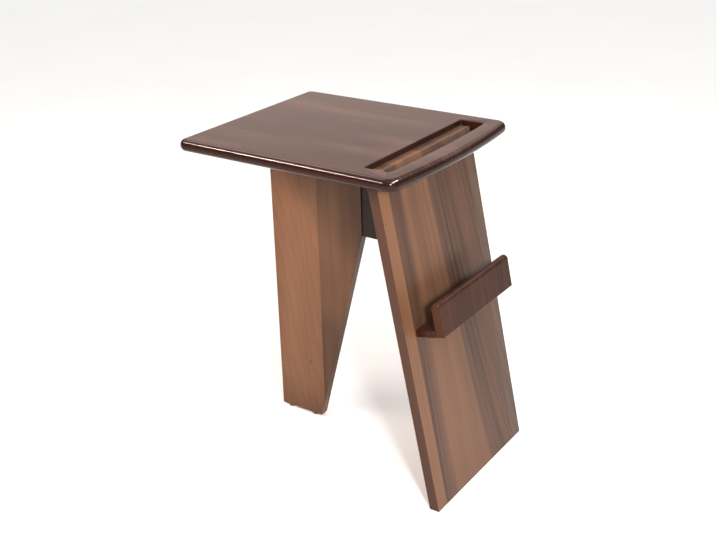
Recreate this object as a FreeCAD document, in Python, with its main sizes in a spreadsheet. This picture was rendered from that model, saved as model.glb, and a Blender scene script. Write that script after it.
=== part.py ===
"""Magazine side table with a slanted rack: a parametric model in millimetres.

A thick bullnosed top stands on a flat leg board and on a leaning rack panel. The panel is let into
a D-shaped slot in the top and carries a tray, so that magazines stand in the tray and rise through the slot.

Frame: +Z up from the floor, +X from the leg towards the rack, +Y across the table.
The origin lies on the floor, below the middle of the table's length and width.
"""
import FreeCAD, Part
import os
import re

import Sketcher

# Driving sizes, in millimetres and degrees.
SIZES = {
    # Whole table
    "table_height": 600.0,
    "overall_length": 502.0,
    # Top board
    "top_width": 383.0,
    "top_thickness": 21.0,
    "bullnose_land": 1.5,
    "bow_rise": 12.0,
    "leg_end_corner": 14.0,
    "rack_end_corner": 22.0,
    # Slot through the top
    "slot_opening": 33.5,
    "slot_rail": 36.0,
    "slot_bow_rise": 5.0,
    "slot_corner": 5.0,
    "slot_edge": 1.2,
    "slot_clearance": 0.4,
    # Leg board, glued up from a post and a tapered wing
    "leg_thickness": 18.0,
    "leg_inset": 52.0,
    "post_width": 105.0,
    "foot_width": 96.0,
    "leg_share": 0.4034,
    # Stretcher between the leg and the rack panel
    "stretcher_depth": 169.0,
    "stretcher_thickness": 14.0,
    # Rack panel with a lipping along each side
    "panel_lean": 11.64,
    "panel_inset": 37.5,
    "panel_thickness": 18.0,
    "panel_in_slot": 11.0,
    "lipping_width": 29.5,
    "edge_round": 1.2,
    # Magazine tray
    "tray_height": 308.0,
    "tray_inset": 32.5,
    "tray_depth": 53.5,
    "ledge_thickness": 12.0,
    "lip_thickness": 16.0,
    "lip_height": 59.5,
    "lip_land": 1.0,
    "lip_corner": 1.5,
    # Glides under the leg
    "glide_height": 5.0,
    "glide_diameter": 16.0,
    "glide_inset": 18.5,
    "nail_diameter": 2.4,
    "nail_length": 18.0,
    "nail_seat": 2.0,
    # Cleats under the top
    "cleat_size": 18.0,
    "leg_cleat_length": 150.0,
    "leg_cleat_inset": 26.0,
    "panel_cleat_gap": 8.0,
    "panel_cleat_inset": 30.0,
    # Wood screws
    "screw_diameter": 3.8,
    "screw_head_diameter": 7.2,
    "screw_head_height": 2.4,
    "cleat_screw_length": 29.0,
    "cleat_screw_inset": 25.0,
    "tray_screw_length": 42.0,
    "tray_screw_inset": 36.0,
    "screw_clearance": 0.15,
    # Loose tongues in the glued joints
    "tongue_width": 24.0,
    "narrow_tongue_width": 16.0,
    "panel_tongue_depth": 9.0,
    "tongue_end": 40.0,
    "tongue_clearance": 0.15,
}


def panel_front(height):
    """Gives X on the rack panel's front face at a height above the floor."""
    return f"(overall_length / 2 - ({height}) * tan(panel_lean))"


def behind_front(depth, height):
    """Gives X at a depth behind the rack panel's front face, measured square to the panel."""
    return f"({panel_front(height)} - ({depth}) / cos(panel_lean))"


def panel_back(height):
    """Gives X on the rack panel's back face at a height above the floor."""
    return behind_front("panel_thickness", height)


def on_tray(out, up):
    """Gives X and Z of a point of the tray's section.

    `out` runs square to the panel from its front face, `up` along the panel from the ledge's underside.
    """
    across = f"({panel_front('tray_height')} + ({out}) * cos(panel_lean) - ({up}) * sin(panel_lean))"
    height = f"(tray_height + ({out}) * sin(panel_lean) + ({up}) * cos(panel_lean))"
    return across, height


# Places and sizes that follow from the driving sizes.
UNDERSIDE = "(table_height - top_thickness)"
PANEL_TOP = f"({UNDERSIDE} + panel_in_slot)"
PANEL_WIDTH = "(top_width - 2 * panel_inset)"
CORE_WIDTH = f"({PANEL_WIDTH} - 2 * lipping_width)"
TOP_LEFT = "(-overall_length / 2)"
SLOT_INNER = f"({panel_back(PANEL_TOP)} - slot_clearance)"
SLOT_OUTER = f"({panel_front(PANEL_TOP)} + slot_opening)"
SLOT_HALF = f"({PANEL_WIDTH} / 2 + slot_clearance)"
SLOT_RADIUS = f"(({SLOT_HALF} ^ 2 + slot_bow_rise ^ 2) / (2 * slot_bow_rise))"
BOW_CORNER = f"({SLOT_OUTER} + slot_rail - bow_rise)"
BOW_RADIUS = "((top_width ^ 2 / 4 + bow_rise ^ 2) / (2 * bow_rise))"
BULLNOSE = "((top_thickness - bullnose_land) / 2)"
LEG_LEFT = f"({TOP_LEFT} + leg_inset)"
LEG_JOINT = f"({LEG_LEFT} + post_width)"
LEG_RIGHT = f"({LEG_LEFT} + overall_length * leg_share)"
FOOT_RIGHT = f"({LEG_LEFT} + foot_width)"
KNEE = f"({UNDERSIDE} - stretcher_depth)"
TAPER = f"(({KNEE} - glide_height) / (overall_length * leg_share - foot_width))"
TAPER_AT_JOINT = f"(glide_height + (post_width - foot_width) * {TAPER})"
TRAY_WIDTH = f"({PANEL_WIDTH} - 2 * tray_inset)"
LEDGE_DEPTH = "(tray_depth - lip_thickness)"
LIP_CROWN = "((lip_thickness - lip_land) / 2)"
CLEAT_BOTTOM = f"({UNDERSIDE} - cleat_size)"
LEG_CLEAT_LEFT = f"({LEG_LEFT} + leg_cleat_inset)"
LEG_CLEAT_RIGHT = f"({LEG_CLEAT_LEFT} + leg_cleat_length)"
LEG_CLEAT_MIDDLE = "(leg_thickness / 2 + cleat_size / 2)"
PANEL_CLEAT_BACK = f"({panel_back(UNDERSIDE)} - cleat_size)"
PANEL_CLEAT_INNER = "(stretcher_thickness / 2 + panel_cleat_gap)"
PANEL_CLEAT_OUTER = f"({PANEL_WIDTH} / 2 - panel_cleat_inset)"

doc = FreeCAD.newDocument("magazine_table")
sheet = doc.addObject("Spreadsheet::Sheet", "Sizes")
for row, (alias, size) in enumerate(SIZES.items(), start=1):
    sheet.set(f"A{row}", alias)
    sheet.set(f"B{row}", str(size))
    sheet.setAlias(f"B{row}", alias)
doc.recompute()

ALIAS = re.compile(r"\b(" + "|".join(SIZES) + r")\b")


def in_sheet(formula):
    """Points every size named in a formula at its cell."""
    return ALIAS.sub(r"Sizes.\1", formula)


def value(formula):
    """Works a formula out as a plain number."""
    result = sheet.evalExpression(in_sheet(formula))
    return float(getattr(result, "Value", result))


def bind(item, **formulas):
    """Binds properties of an object to formulas; a double underscore stands for a dot."""
    for name, formula in formulas.items():
        item.setExpression(name.replace("__", "."), in_sheet(formula))
    return item


def new_sketch(body, name, role, offset):
    """Adds a sketch on one of the body's own origin planes, moved along the plane's normal."""
    sketch = body.newObject("Sketcher::SketchObject", name)
    plane = next(feature for feature in body.Origin.OriginFeatures if feature.Role == role)
    sketch.AttachmentSupport = [(plane, "")]
    sketch.MapMode = "FlatFace"
    bind(sketch, AttachmentOffset__Base__z=offset)
    return sketch


def hold(sketch, constraint, formula):
    """Adds a sketch constraint whose size is bound to a formula."""
    index = sketch.addConstraint(Sketcher.Constraint(*constraint, value(formula)))
    sketch.setExpression(f"Constraints[{index}]", in_sheet(formula))


def hold_point(sketch, line, point, place):
    """Holds a point of the sketch at two bound distances from the sketch's origin."""
    hold(sketch, ("DistanceX", -1, 1, line, point), place[0])
    hold(sketch, ("DistanceY", -1, 1, line, point), place[1])


def draw_outline(sketch, corners):
    """Draws a closed outline of straight sides through bound corners."""
    points = [FreeCAD.Vector(value(across), value(up), 0) for across, up in corners]
    count = len(points)
    for side in range(count):
        sketch.addGeometry(Part.LineSegment(points[side], points[(side + 1) % count]))
    for side in range(count):
        sketch.addConstraint(Sketcher.Constraint("Coincident", side, 2, (side + 1) % count, 1))
        hold_point(sketch, side, 1, corners[side])


def draw_bowed(sketch, left, right, half, radius):
    """Draws a rectangle about the sketch's X axis whose right end is an arc that bows outwards."""
    corners = [(right, f"-{half}"), (left, f"-{half}"), (left, half), (right, half)]
    points = [FreeCAD.Vector(value(across), value(up), 0) for across, up in corners]
    for side in range(3):
        sketch.addGeometry(Part.LineSegment(points[side], points[side + 1]))
        hold_point(sketch, side, 1, corners[side])
    hold_point(sketch, 2, 2, corners[3])
    sketch.addConstraint(Sketcher.Constraint("Coincident", 0, 2, 1, 1))
    sketch.addConstraint(Sketcher.Constraint("Coincident", 1, 2, 2, 1))
    reach = value(radius)
    sag = reach - (reach ** 2 - value(half) ** 2) ** 0.5
    crown = FreeCAD.Vector(value(right) + sag, 0, 0)
    bow = sketch.addGeometry(Part.Arc(points[0], crown, points[3]))
    sketch.addConstraint(Sketcher.Constraint("Coincident", bow, 1, 0, 1))
    sketch.addConstraint(Sketcher.Constraint("Coincident", bow, 2, 2, 2))
    hold(sketch, ("Radius", bow), radius)


def add_pad(body, sketch, length, side):
    """Pads a sketch."""
    pad = body.newObject("PartDesign::Pad", f"{body.Name}_pad")
    pad.Profile = sketch
    pad.SideType = side
    bind(pad, Length=length)
    doc.recompute()
    return pad


def edges_of(base, chosen):
    """Names the edges of a feature that pass a test."""
    return [f"Edge{index}" for index, edge in enumerate(base.Shape.Edges, start=1) if chosen(edge)]


def round_edges(body, base, name, radius, chosen):
    """Rounds the edges of a feature that pass a test."""
    fillet = body.newObject("PartDesign::Fillet", name)
    fillet.Base = (base, edges_of(base, chosen))
    bind(fillet, Radius=radius)
    doc.recompute()
    return fillet


def bevel_edges(body, base, name, size, chosen):
    """Bevels the edges of a feature that pass a test."""
    chamfer = body.newObject("PartDesign::Chamfer", name)
    chamfer.Base = (base, edges_of(base, chosen))
    bind(chamfer, Size=size)
    doc.recompute()
    return chamfer


def is_upright(edge):
    """Tells an upright edge."""
    box = edge.BoundBox
    return box.ZLength > 10 * max(box.XLength, box.YLength)


def is_level(edge):
    """Tells an edge that lies at one height."""
    box = edge.BoundBox
    return box.ZLength < 0.001 * max(box.XLength, box.YLength)


def in_side(edge):
    """Tells an edge that lies in one of a board's two sides, square to Y."""
    box = edge.BoundBox
    return box.YLength < 0.001 * max(box.XLength, box.ZLength)


def board(name, corners, thickness, centre="0"):
    """Makes a board from its outline in XZ, padded evenly about a plane square to Y."""
    body = doc.addObject("PartDesign::Body", f"{name}_blank")
    sketch = new_sketch(body, f"{name}_outline", "XZ_Plane", f"-({centre})")
    draw_outline(sketch, corners)
    pad = add_pad(body, sketch, thickness, "Symmetric")
    return body, pad


def cut_away(name, blank, cutters):
    """Cuts bores and grooves from a blank, and gives the result the node's name."""
    item = doc.addObject("Part::Cut", f"{name}_cut")
    item.Base = blank
    item.Tool = fused(f"{name}_cutters", cutters)
    item.Label = name
    return item


def fused(name, items):
    """Joins several shapes into one."""
    if len(items) == 1:
        return items[0]
    item = doc.addObject("Part::MultiFuse", name)
    item.Shapes = items
    return item


def group(name, items):
    """Keeps several solids together as one node."""
    item = doc.addObject("Part::Compound", f"{name}_group")
    item.Links = items
    item.Label = name
    return item


def tongue(name, outline, thickness, centre="0"):
    """Makes a loose tongue, and gives the cutter for the grooves that it sits in.

    `outline` gives the corners in XZ of the tongue with an allowance added all round.
    """
    piece, _ = board(name, outline("0"), thickness, centre)
    piece.Label = name
    wide = f"({thickness}) + 2 * tongue_clearance"
    cutter, _ = board(f"{name}_groove", outline("tongue_clearance"), wide, centre)
    return cutter


def box_outline(left, right, low, high, spare):
    """Gives the corners of an upright rectangle with an allowance added all round."""
    left, low = f"({left} - {spare})", f"({low} - {spare})"
    right, high = f"({right} + {spare})", f"({high} + {spare})"
    return [(left, low), (right, low), (right, high), (left, high)]


def slanted_outline(shallow, deep, low, high, spare):
    """Gives the corners of a strip that follows the panel between two depths behind its front face."""
    shallow, low = f"({shallow} - {spare})", f"({low} - {spare})"
    deep, high = f"({deep} + {spare})", f"({high} + {spare})"
    return [
        (behind_front(shallow, low), low), (behind_front(shallow, high), high),
        (behind_front(deep, high), high), (behind_front(deep, low), low),
    ]


def tray_outline(inner, outer, low, high, spare="0"):
    """Gives the corners of a rectangle of the tray's section with an allowance added all round."""
    inner, low = f"({inner} - {spare})", f"({low} - {spare})"
    outer, high = f"({outer} + {spare})", f"({high} + {spare})"
    return [on_tray(inner, low), on_tray(outer, low), on_tray(outer, high), on_tray(inner, high)]


def leg_tongue_outline(spare):
    """Outlines the tongue between the leg's post and wing, in the wing's wider part."""
    left, right = f"({LEG_JOINT} - tongue_width / 2)", f"({LEG_JOINT} + tongue_width / 2)"
    return box_outline(left, right, f"({KNEE} / 2)", f"({UNDERSIDE} - tongue_end)", spare)


def stretcher_tongue_outline(spare):
    """Outlines the tongue between the leg and the stretcher."""
    left, right = f"({LEG_RIGHT} - tongue_width / 2)", f"({LEG_RIGHT} + tongue_width / 2)"
    return box_outline(left, right, f"({KNEE} + tongue_end)", f"({UNDERSIDE} - tongue_end)", spare)


def panel_tongue_outline(spare):
    """Outlines the tongue between the stretcher and the panel, which follows the panel's back."""
    shallow, deep = "(panel_thickness - panel_tongue_depth)", "(panel_thickness + tongue_width / 2)"
    return slanted_outline(shallow, deep, f"({KNEE} + tongue_end)", f"({UNDERSIDE} - tongue_end)", spare)


def lipping_tongue_outline(spare):
    """Outlines the tongue between the panel's core and a lipping, in the middle third of the panel."""
    high = f"({PANEL_TOP} - tongue_end)"
    return slanted_outline("(panel_thickness / 3)", "(panel_thickness * 2 / 3)", "tongue_end", high, spare)


def lip_tongue_outline(spare):
    """Outlines the tongue between the tray's ledge and lip, in the middle third of the ledge."""
    inner = f"({LEDGE_DEPTH} - narrow_tongue_width / 2)"
    outer = f"({LEDGE_DEPTH} + narrow_tongue_width / 2)"
    return tray_outline(inner, outer, "(ledge_thickness / 3)", "(ledge_thickness * 2 / 3)", spare)


# How a round piece is turned from upright, about Y, and the way that it then points in X and Z.
UP = ("0", "0", "1")
FROM_PANEL = ("90 - panel_lean", "cos(panel_lean)", "sin(panel_lean)")


def rod(name, start, direction, diameter, length, setback="0"):
    """Makes a round rod along a direction, set back from its start point."""
    item = doc.addObject("Part::Cylinder", name)
    angle, way_x, way_z = direction
    turn = FreeCAD.Rotation(FreeCAD.Vector(0, 1, 0), value(angle))
    item.Placement = FreeCAD.Placement(FreeCAD.Vector(), turn)
    if direction is not UP:
        bind(item, Placement__Rotation__Angle=angle)
    bind(item, Radius=f"({diameter}) / 2", Height=length, Placement__Base__y=start[1])
    bind(item, Placement__Base__x=f"({start[0]}) - {setback} * {way_x}")
    bind(item, Placement__Base__z=f"({start[2]}) - {setback} * {way_z}")
    return item


def screw(name, seat, direction, length):
    """Makes a wood screw whose round head sits on a surface at `seat`, and the hole for its shank."""
    thick = "screw_head_height"
    head = rod(f"{name}_head", seat, direction, "screw_head_diameter", thick, setback=thick)
    shank = rod(f"{name}_shank", seat, direction, "screw_diameter", length)
    wide = "screw_diameter + 2 * screw_clearance"
    hole = rod(f"{name}_hole", seat, direction, wide, f"{length} + screw_clearance")
    return fused(name, [head, shank]), hole


def cleat_screws(name, spots):
    """Makes the screws that go up through a cleat into the top."""
    made = []
    for index, (along, across) in enumerate(spots):
        made.append(screw(f"{name}_screw_{index}", (along, across, CLEAT_BOTTOM), UP, "cleat_screw_length"))
    return made


def make_cleat(name, corners, length, centre, spots):
    """Makes a cleat with its screws, and lists the screws."""
    made = cleat_screws(name, spots)
    blank, _ = board(name, corners, length, centre)
    cut_away(name, blank, [hole for _, hole in made])
    return made


def make_cleats():
    """Makes the four cleats that hold the top on the leg and on the panel, and lists their screws."""
    leg_corners = box_outline(LEG_CLEAT_LEFT, LEG_CLEAT_RIGHT, CLEAT_BOTTOM, UNDERSIDE, "0")
    panel_corners = [
        (PANEL_CLEAT_BACK, CLEAT_BOTTOM), (panel_back(CLEAT_BOTTOM), CLEAT_BOTTOM),
        (panel_back(UNDERSIDE), UNDERSIDE), (PANEL_CLEAT_BACK, UNDERSIDE),
    ]
    leg_ends = (f"({LEG_CLEAT_LEFT} + cleat_screw_inset)", f"({LEG_CLEAT_RIGHT} - cleat_screw_inset)")
    panel_ends = (f"({PANEL_CLEAT_INNER} + cleat_screw_inset)", f"({PANEL_CLEAT_OUTER} - cleat_screw_inset)")
    panel_row = f"({PANEL_CLEAT_BACK} + cleat_size / 2)"
    panel_length = f"({PANEL_CLEAT_OUTER} - {PANEL_CLEAT_INNER})"
    made = []
    for side, sign in (("near", "-1"), ("far", "1")):
        leg_middle = f"({sign} * {LEG_CLEAT_MIDDLE})"
        panel_middle = f"({sign} * ({PANEL_CLEAT_INNER} + {PANEL_CLEAT_OUTER}) / 2)"
        leg_spots = [(end, leg_middle) for end in leg_ends]
        panel_spots = [(panel_row, f"({sign} * {end})") for end in panel_ends]
        made += make_cleat(f"leg_cleat_{side}", leg_corners, "cleat_size", leg_middle, leg_spots)
        made += make_cleat(f"panel_cleat_{side}", panel_corners, panel_length, panel_middle, panel_spots)
    group("cleat_screws", [piece for piece, _ in made])
    return [hole for _, hole in made]


def is_slot_rim(edge):
    """Tells an edge of the slot's upper or lower rim."""
    box = edge.BoundBox
    margin = value("slot_edge")
    wide = value(SLOT_HALF) + margin
    inside = box.XMin > value(SLOT_INNER) - margin and box.XMax < value(SLOT_OUTER) + margin
    return is_level(edge) and inside and box.YMin > -wide and box.YMax < wide


def make_top(screw_holes):
    """Makes the top: a bowed end, a full bullnose all round, and the slot that the panel is let into."""
    body = doc.addObject("PartDesign::Body", "table_top_blank")
    sketch = new_sketch(body, "table_top_outline", "XY_Plane", UNDERSIDE)
    draw_bowed(sketch, TOP_LEFT, BOW_CORNER, "(top_width / 2)", BOW_RADIUS)
    pad = add_pad(body, sketch, "top_thickness", "One side")
    middle = value(f"({TOP_LEFT} + {BOW_CORNER}) / 2")
    leg_end = round_edges(
        body, pad, "leg_end_corners", "leg_end_corner",
        lambda edge: is_upright(edge) and edge.BoundBox.XMax < middle,
    )
    corner = value(BOW_CORNER) - value("bow_rise")
    rack_end = round_edges(
        body, leg_end, "rack_end_corners", "rack_end_corner",
        lambda edge: is_upright(edge) and edge.BoundBox.XMin > corner,
    )
    bullnose = round_edges(body, rack_end, "bullnose", BULLNOSE, is_level)

    slot = new_sketch(body, "slot_outline", "XY_Plane", "table_height")
    draw_bowed(slot, SLOT_INNER, f"({SLOT_OUTER} - slot_bow_rise)", SLOT_HALF, SLOT_RADIUS)
    pocket = body.newObject("PartDesign::Pocket", "slot")
    pocket.Profile = slot
    pocket.Type = "ThroughAll"
    doc.recompute()
    if pocket.Shape.Volume > 0.99 * bullnose.Shape.Volume:
        raise RuntimeError("the slot cuts nothing from the top")
    half_way = value("top_thickness / 2")
    corners = round_edges(
        body, pocket, "slot_corners", "slot_corner",
        lambda edge: is_upright(edge) and edge.BoundBox.ZLength > half_way,
    )
    bevel_edges(body, corners, "slot_edges", "slot_edge", is_slot_rim)
    cut_away("table_top", body, screw_holes)


def make_leg(leg_groove, stretcher_groove, nail_holes):
    """Makes the leg board: a straight post and a wing that tapers to nothing at the foot."""
    post_corners = [
        (LEG_LEFT, "glide_height"), (FOOT_RIGHT, "glide_height"), (LEG_JOINT, TAPER_AT_JOINT),
        (LEG_JOINT, UNDERSIDE), (LEG_LEFT, UNDERSIDE),
    ]
    post, post_pad = board("leg_post", post_corners, "leg_thickness")
    joint = value(LEG_JOINT) - value("edge_round")
    roof = value(UNDERSIDE) - value("edge_round")
    round_edges(
        post, post_pad, "leg_post_edges", "edge_round",
        lambda edge: in_side(edge) and edge.BoundBox.XMin < joint and edge.BoundBox.ZMin < roof,
    )
    cut_away("leg_post", post, [leg_groove] + nail_holes)
    wing_corners = [
        (LEG_JOINT, TAPER_AT_JOINT), (LEG_RIGHT, KNEE),
        (LEG_RIGHT, UNDERSIDE), (LEG_JOINT, UNDERSIDE),
    ]
    wing, wing_pad = board("leg_wing", wing_corners, "leg_thickness")
    knee = value(KNEE) - value("edge_round")
    beyond = value(LEG_JOINT) + value("edge_round")
    round_edges(
        wing, wing_pad, "leg_wing_edges", "edge_round",
        lambda edge: in_side(edge) and edge.BoundBox.ZMin < knee and edge.BoundBox.XMax > beyond,
    )
    cut_away("leg_wing", wing, [leg_groove, stretcher_groove])


def make_stretcher(grooves):
    """Makes the stretcher, which ends square on the leg and slanted on the panel's back."""
    corners = [
        (LEG_RIGHT, KNEE), (panel_back(KNEE), KNEE),
        (panel_back(UNDERSIDE), UNDERSIDE), (LEG_RIGHT, UNDERSIDE),
    ]
    blank, _ = board("stretcher", corners, "stretcher_thickness")
    cut_away("stretcher", blank, grooves)


def make_panel(cutters):
    """Makes the rack panel's core, and the lipping along each of its sides with its tongue."""
    corners = slanted_outline("0", "panel_thickness", "0", PANEL_TOP, "0")
    grooves = []
    for side, sign in (("near", "-1"), ("far", "1")):
        joint = f"({sign} * {CORE_WIDTH} / 2)"
        groove = tongue(f"lipping_tongue_{side}", lipping_tongue_outline, "narrow_tongue_width", joint)
        grooves.append(groove)
        centre = f"({sign} * ({CORE_WIDTH} + lipping_width) / 2)"
        blank, pad = board(f"panel_lipping_{side}", corners, "lipping_width", centre)
        outside = value(f"{sign} * {PANEL_WIDTH} / 2")
        near_outside = value("edge_round")
        round_edges(
            blank, pad, f"panel_lipping_{side}_edges", "edge_round",
            lambda edge: in_side(edge) and abs(edge.BoundBox.YMin - outside) < near_outside
            and edge.BoundBox.ZLength > edge.BoundBox.XLength,
        )
        cut_away(f"panel_lipping_{side}", blank, [groove])
    core, _ = board("rack_panel", corners, CORE_WIDTH)
    cut_away("rack_panel", core, grooves + cutters)


def make_lip(groove):
    """Makes the tray's lip: a bullnosed upper side, soft ends and an eased lower edge."""
    lip, pad = board("tray_lip", tray_outline(LEDGE_DEPTH, "tray_depth", "0", "lip_height"), TRAY_WIDTH)
    near = value("edge_round") / 2
    foot_x, foot_z = [value(part) for part in on_tray("tray_depth", "0")]
    foot = FreeCAD.Vector(foot_x, 0, foot_z)
    tilt = FreeCAD.Rotation(FreeCAD.Vector(0, 1, 0), -value("panel_lean"))
    outwards = tilt.multVec(FreeCAD.Vector(1, 0, 0))
    upwards = tilt.multVec(FreeCAD.Vector(0, 0, 1))
    tall = value("lip_height")

    def reach(edge, way):
        """Gives how far an edge's middle lies from the lip's outer lower edge along a direction."""
        return (edge.CenterOfMass - foot).dot(way)

    def on_top(edge):
        """Tells a long edge along the lip's upper side."""
        return is_across(edge) and reach(edge, upwards) > tall - near

    crown = round_edges(lip, pad, "tray_lip_crown", LIP_CROWN, on_top)
    ends = round_edges(
        lip, crown, "tray_lip_ends", "lip_corner", lambda edge: in_side(edge) and reach(edge, upwards) > near
    )
    bevel_edges(
        lip, ends, "tray_lip_lower_edge", "edge_round",
        lambda edge: is_across(edge) and reach(edge, upwards) < near and reach(edge, outwards) > -near,
    )
    cut_away("tray_lip", lip, [groove])


def is_across(edge):
    """Tells a straight edge that runs across the table."""
    box = edge.BoundBox
    return box.YLength > 10 * max(box.XLength, box.ZLength)


def make_tray():
    """Makes the tray's ledge, square to the panel, with its lip and the screws through the panel's back.

    The holes of those screws, which the panel needs too, are given back.
    """
    groove = tongue("lip_tongue", lip_tongue_outline, f"({TRAY_WIDTH} - 2 * tongue_end)")
    seat_x, seat_z = on_tray("-panel_thickness", "ledge_thickness / 2")
    reach = f"({TRAY_WIDTH} / 2 - tray_screw_inset)"
    made = []
    for index, share in enumerate(("-1", "0", "1")):
        seat = (seat_x, f"({share} * {reach})", seat_z)
        made.append(screw(f"tray_screw_{index}", seat, FROM_PANEL, "tray_screw_length"))
    group("tray_screws", [piece for piece, _ in made])
    holes = [hole for _, hole in made]
    ledge, _ = board("tray_ledge", tray_outline("0", LEDGE_DEPTH, "0", "ledge_thickness"), TRAY_WIDTH)
    cut_away("tray_ledge", ledge, [groove] + holes)
    make_lip(groove)
    return holes


def make_glide(index, spot):
    """Makes a glide's pad, its nail, and the nail's hole."""
    body = doc.addObject("PartDesign::Body", f"glide_blank_{index}")
    sketch = new_sketch(body, f"glide_outline_{index}", "XY_Plane", "0")
    centre = FreeCAD.Vector(value(spot), 0, 0)
    circle = sketch.addGeometry(Part.Circle(centre, FreeCAD.Vector(0, 0, 1), value("glide_diameter / 2")))
    hold_point(sketch, circle, 3, (spot, "0"))
    hold(sketch, ("Diameter", circle), "glide_diameter")
    add_pad(body, sketch, "glide_height", "One side")
    foot = (spot, "0", "nail_seat")
    nail = rod(f"glide_nail_{index}", foot, UP, "nail_diameter", "nail_length")
    wide = "nail_diameter + 2 * screw_clearance"
    hole = rod(f"glide_nail_{index}_hole", foot, UP, wide, "nail_length + screw_clearance")
    drilled = doc.addObject("Part::Cut", f"glide_pad_{index}")
    drilled.Base = body
    drilled.Tool = hole
    return drilled, nail, hole


def make_glides():
    """Makes the two glides under the leg's foot, and lists the holes of their nails."""
    spots = (f"({LEG_LEFT} + glide_inset)", f"({FOOT_RIGHT} - glide_inset)")
    made = [make_glide(index, spot) for index, spot in enumerate(spots)]
    group("glide_pads", [pad for pad, _, _ in made])
    group("glide_nails", [nail for _, nail, _ in made])
    return [hole for _, _, hole in made]


leg_groove = tongue("leg_tongue", leg_tongue_outline, "(leg_thickness / 3)")
stretcher_groove = tongue("stretcher_tongue", stretcher_tongue_outline, "(stretcher_thickness / 3)")
panel_groove = tongue("panel_tongue", panel_tongue_outline, "(stretcher_thickness / 3)")
make_top(make_cleats())
make_leg(leg_groove, stretcher_groove, make_glides())
make_stretcher([stretcher_groove, panel_groove])
make_panel([panel_groove] + make_tray())

NODES = (
    "table_top", "leg_post", "leg_wing", "leg_tongue", "stretcher", "stretcher_tongue", "panel_tongue",
    "rack_panel", "panel_lipping_near", "panel_lipping_far", "lipping_tongue_near", "lipping_tongue_far",
    "tray_ledge", "tray_lip", "lip_tongue", "tray_screws", "leg_cleat_near", "leg_cleat_far",
    "panel_cleat_near", "panel_cleat_far", "cleat_screws", "glide_pads", "glide_nails",
)

doc.recompute()
failed = [item.Name for item in doc.Objects if "Invalid" in item.State or "Error" in item.State]
if failed:
    raise RuntimeError(f"these objects failed: {failed}")

shapes = {}
for node in NODES:
    shape = doc.getObjectsByLabel(node)[0].Shape
    if shape.isNull() or not shape.isValid() or not shape.Solids:
        raise RuntimeError(f"{node} has no valid solid")
    shapes[node] = shape

os.makedirs("parts", exist_ok=True)
for node, shape in shapes.items():
    shape.exportStep(os.path.join("parts", f"{node}.step"))
    print(f"{node}: {len(shape.Solids)} solid(s), {shape.Volume / 1000:.1f} cm3")
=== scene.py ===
"""Looks of a walnut table with a rack: its boards, glides, screws, finishes and studio."""
import logging
import math
from dataclasses import dataclass
from enum import Enum
from functools import cache
from typing import Any

import bmesh
import bpy
from mathutils import Matrix, Vector


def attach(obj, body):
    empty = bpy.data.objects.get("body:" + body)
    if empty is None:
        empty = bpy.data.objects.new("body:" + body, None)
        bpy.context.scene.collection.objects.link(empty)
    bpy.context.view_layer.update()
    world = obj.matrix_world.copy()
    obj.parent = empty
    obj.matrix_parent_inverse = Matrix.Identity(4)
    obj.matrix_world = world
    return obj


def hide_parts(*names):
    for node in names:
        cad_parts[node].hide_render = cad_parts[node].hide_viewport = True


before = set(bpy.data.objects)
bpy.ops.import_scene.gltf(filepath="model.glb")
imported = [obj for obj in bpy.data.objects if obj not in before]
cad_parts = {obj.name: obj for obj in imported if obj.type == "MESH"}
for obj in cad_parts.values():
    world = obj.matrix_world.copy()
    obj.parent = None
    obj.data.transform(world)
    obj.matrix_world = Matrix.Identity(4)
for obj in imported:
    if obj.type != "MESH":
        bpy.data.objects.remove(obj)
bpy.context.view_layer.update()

ROOT = "root"
MM = 0.001
PER_METRE = 1000.0

# The rack panel leans: its grain runs up it, and its screws point out of its face.
LEAN_DEG = 11.64
LEAN = math.radians(LEAN_DEG)
FROM_PANEL = Vector((math.cos(LEAN), 0.0, math.sin(LEAN)))
UP = Vector((0.0, 0.0, 1.0))

# CAD corners this close are one corner, and faces that turn by less than this are one face.
WELD_MM = 0.002
FLAT_DEG = 0.05
# A face with more corners than this is cut into triangles.
MOST_CORNERS = 4
# Solids are put in order by their places, rounded to this many digits.
ORDER_DIGITS = 6
# The flat faces beside a rounded edge settle its shading at this weight, the highest there is.
FLAT_FACE_WEIGHT = 100

# Types of node that are used many times.
MATH = "ShaderNodeMath"
VECTOR_MATH = "ShaderNodeVectorMath"
MAP_RANGE = "ShaderNodeMapRange"
NOISE = "ShaderNodeTexNoise"
MIX = "ShaderNodeMix"
BUMP = "ShaderNodeBump"
SEPARATE = "ShaderNodeSeparateXYZ"
COMBINE = "ShaderNodeCombineXYZ"
TRANSFORM = "GeometryNodeTransform"

# A noise runs from 0 to 1 about this middle.
NOISE_MIDDLE = 0.5

# Colours of the studio's lights, from plain to warm; the warm one gives the dark top its brown sheen.
WHITE = "#FFFFFF"
CREAM = "#FFF4EC"
MILD = "#FFEDE4"
WARM = "#FFDCCB"

Place = tuple[float, float, float]
# Types of nodes, materials and meshes, what can feed a node's input, and inputs with what feeds them.
Tree = bpy.types.NodeTree
Node = bpy.types.Node
Socket = bpy.types.NodeSocket
Sockets = bpy.types.bpy_prop_collection
Material = bpy.types.Material
Mesh = bpy.types.Mesh
Shape = bmesh.types.BMesh
Source = Node | Socket | float
Links = dict[str | int, Any]

log = logging.getLogger("table_with_rack")


def linear(hex_colour: str) -> tuple[float, float, float, float]:
    """Turns an sRGB hex colour into linear RGBA.

    Args:
        hex_colour: Six hex digits with a leading #.

    Returns:
        Linear red, green, blue and an alpha of 1.
    """
    channels = [int(hex_colour[start:start + 2], 16) / 255 for start in (1, 3, 5)]
    bent = [c / 12.92 if c <= 0.04045 else ((c + 0.055) / 1.055) ** 2.4 for c in channels]
    return (bent[0], bent[1], bent[2], 1.0)


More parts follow.
